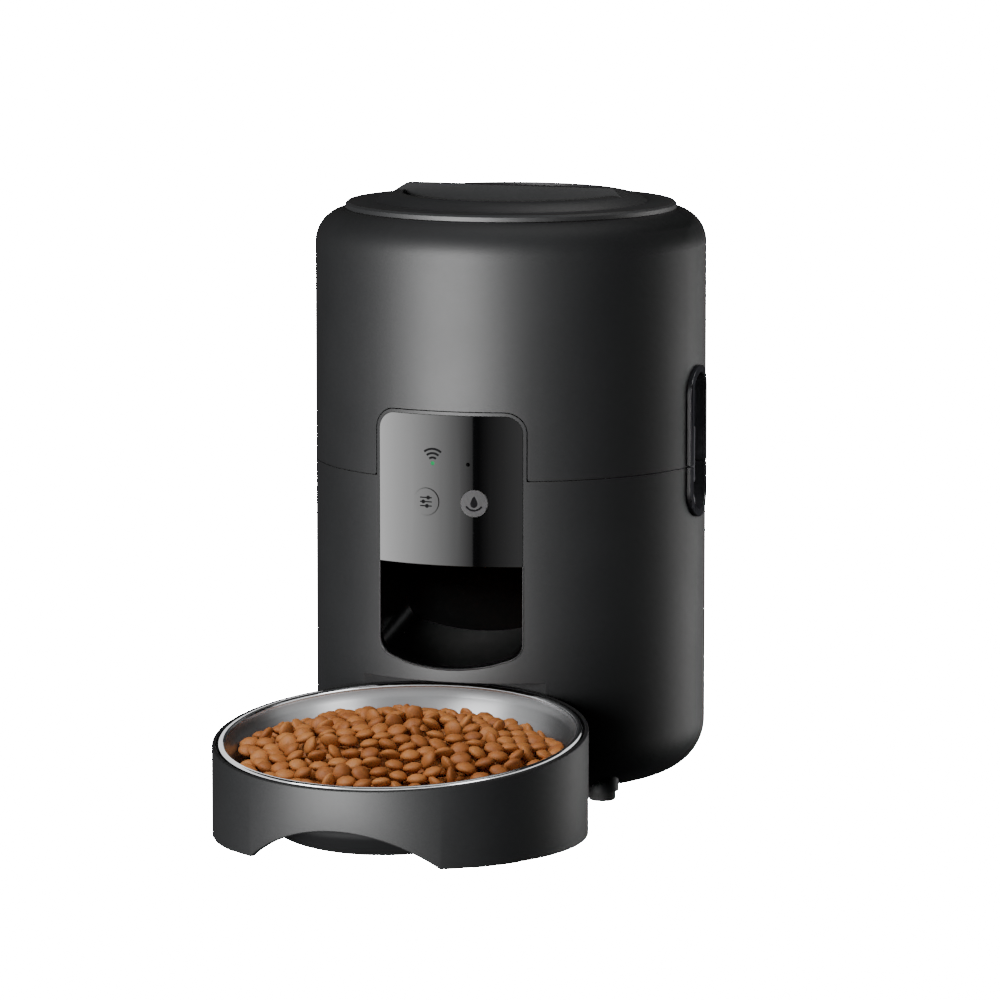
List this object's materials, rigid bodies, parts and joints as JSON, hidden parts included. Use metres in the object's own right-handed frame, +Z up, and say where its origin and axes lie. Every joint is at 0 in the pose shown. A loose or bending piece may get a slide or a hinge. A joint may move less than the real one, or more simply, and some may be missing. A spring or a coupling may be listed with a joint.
{
  "type": "automatic pet feeder",
  "caption": "Round tabletop feeder: a lift-off food hopper with a lid over a motor-driven rotor, a chute, and a tilted steel dish in a slide-out stand.",
  "frame": {"origin": "middle of the footprint, on the floor", "axes": "+Z up, -Y towards the bowl and the pet, +X to the right seen from the pet's side"},
  "size_m": [0.1836, 0.3242, 0.275],
  "materials": {
    "shell": "fine satin moulded black",
    "inner_plastic": "moulded black, untextured",
    "bezel": "satin black trim",
    "tray": "moulded dark grey",
    "slider": "moulded grey",
    "gloss_panel": "piano black",
    "gloss_chute": "polished black",
    "button": "satin grey",
    "lamp": "green light pipe",
    "window": "smoked infrared window",
    "sensor_metal": "drawn can",
    "circuit_board": "green laminate",
    "contact": "nickel plated",
    "motor_steel": "zinc plated",
    "shaft_steel": "ground",
    "bush": "sintered bronze",
    "screw": "zinc plated",
    "gear": "natural acetal",
    "paddle": "flexible grey",
    "rubber": "matte black",
    "seal": "translucent silicone",
    "steel": "satin stainless with a polished bead",
    "food": "baked dry food",
    "socket": "plated shell in black plastic"
  },
  "bodies": {
    "base": {"base_shell": "shell", "bottom_cover": "shell", "battery_box": "inner_plastic", "battery_door": "shell", "battery_contacts": "contact", "rubber_feet": "rubber", "power_socket": "socket", "main_board": "circuit_board", "front_panel": "gloss_panel", "button_board": "circuit_board", "signal_led": "lamp", "microphone": "sensor_metal", "tower_back_cover": "inner_plastic", "food_chute": "gloss_chute", "sensor_window": "window", "rotor_deck": "inner_plastic", "shaft_bush": "bush", "gear_cover": "inner_plastic", "gear_motor": "motor_steel", "deck_screws": "screw", "bottom_screws": "screw", "gear_screws": "screw", "lock_bezel_lower_right": "bezel", "lock_bezel_lower_left": "bezel", "lock_keeper_right": "tray", "lock_keeper_left": "tray"},
    "hopper": {"hopper_shell": "shell", "hopper_funnel": "inner_plastic", "lock_bezel_upper_right": "bezel", "lock_bezel_upper_left": "bezel", "lock_track_right": "tray", "lock_track_left": "tray"},
    "lid": {"lid_cover": "shell", "lid_seal": "seal", "desiccant_box": "inner_plastic"},
    "desiccant_door": {"desiccant_door": "inner_plastic"},
    "lock_slider_right": {"lock_slider_right": "slider"},
    "lock_slider_left": {"lock_slider_left": "slider"},
    "rotor": {"rotor_wheel": "paddle", "rotor_shaft": "shaft_steel", "drive_gear": "gear"},
    "motor_pinion": {"motor_pinion": "gear"},
    "bowl_stand": {"bowl_stand": "shell", "bowl_pads": "rubber"},
    "steel_bowl": {"steel_bowl": "steel", "kibble": "food"},
    "set_button": {"set_button": "button"},
    "feed_button": {"feed_button": "button"}
  },
  "joints": [
    {"name": "hopper_lift", "type": "slide", "parent": "base", "child": "hopper", "axis": [0, 0, 1], "range_m": [0, 0.14]},
    {"name": "lid_lift", "type": "slide", "parent": "hopper", "child": "lid", "axis": [0, 0, 1], "range_m": [0, 0.08]},
    {"name": "desiccant_door_hinge", "type": "hinge", "parent": "lid", "child": "desiccant_door", "pos_m": [0, 0.09625, 0.241], "axis": [1, 0, 0], "range_deg": [0, 100]},
    {"name": "lock_slide_right", "type": "slide", "parent": "hopper", "child": "lock_slider_right", "axis": [0, 0, 1], "range_m": [0, 0.018]},
    {"name": "lock_slide_left", "type": "slide", "parent": "hopper", "child": "lock_slider_left", "axis": [0, 0, 1], "range_m": [0, 0.018]},
    {"name": "rotor_spin", "type": "hinge", "parent": "base", "child": "rotor", "pos_m": [0, 0.07215, 0.125], "axis": [0, 0, 1], "continuous": true},
    {"name": "pinion_spin", "type": "hinge", "parent": "base", "child": "motor_pinion", "pos_m": [0, 0.10225, 0.107], "axis": [0, 0, 1], "continuous": true},
    {"name": "stand_slide", "type": "slide", "parent": "base", "child": "bowl_stand", "axis": [0, -1, 0], "range_m": [0, 0.06]},
    {"name": "bowl_tilt", "type": "hinge", "parent": "bowl_stand", "child": "steel_bowl", "pos_m": [0, -0.00014, 0.05313], "axis": [-1, 0, 0], "range_deg": [0, 14]},
    {"name": "set_press", "type": "slide", "parent": "base", "child": "set_button", "axis": [0, 1, 0], "range_m": [0, 0.0005], "stiffness_N_per_m": 400},
    {"name": "feed_press", "type": "slide", "parent": "base", "child": "feed_button", "axis": [0, 1, 0], "range_m": [0, 0.0005], "stiffness_N_per_m": 400}
  ],
  "couplings": [
    {"joint": "pinion_spin", "follows": "rotor_spin", "ratio": -3}
  ]
}
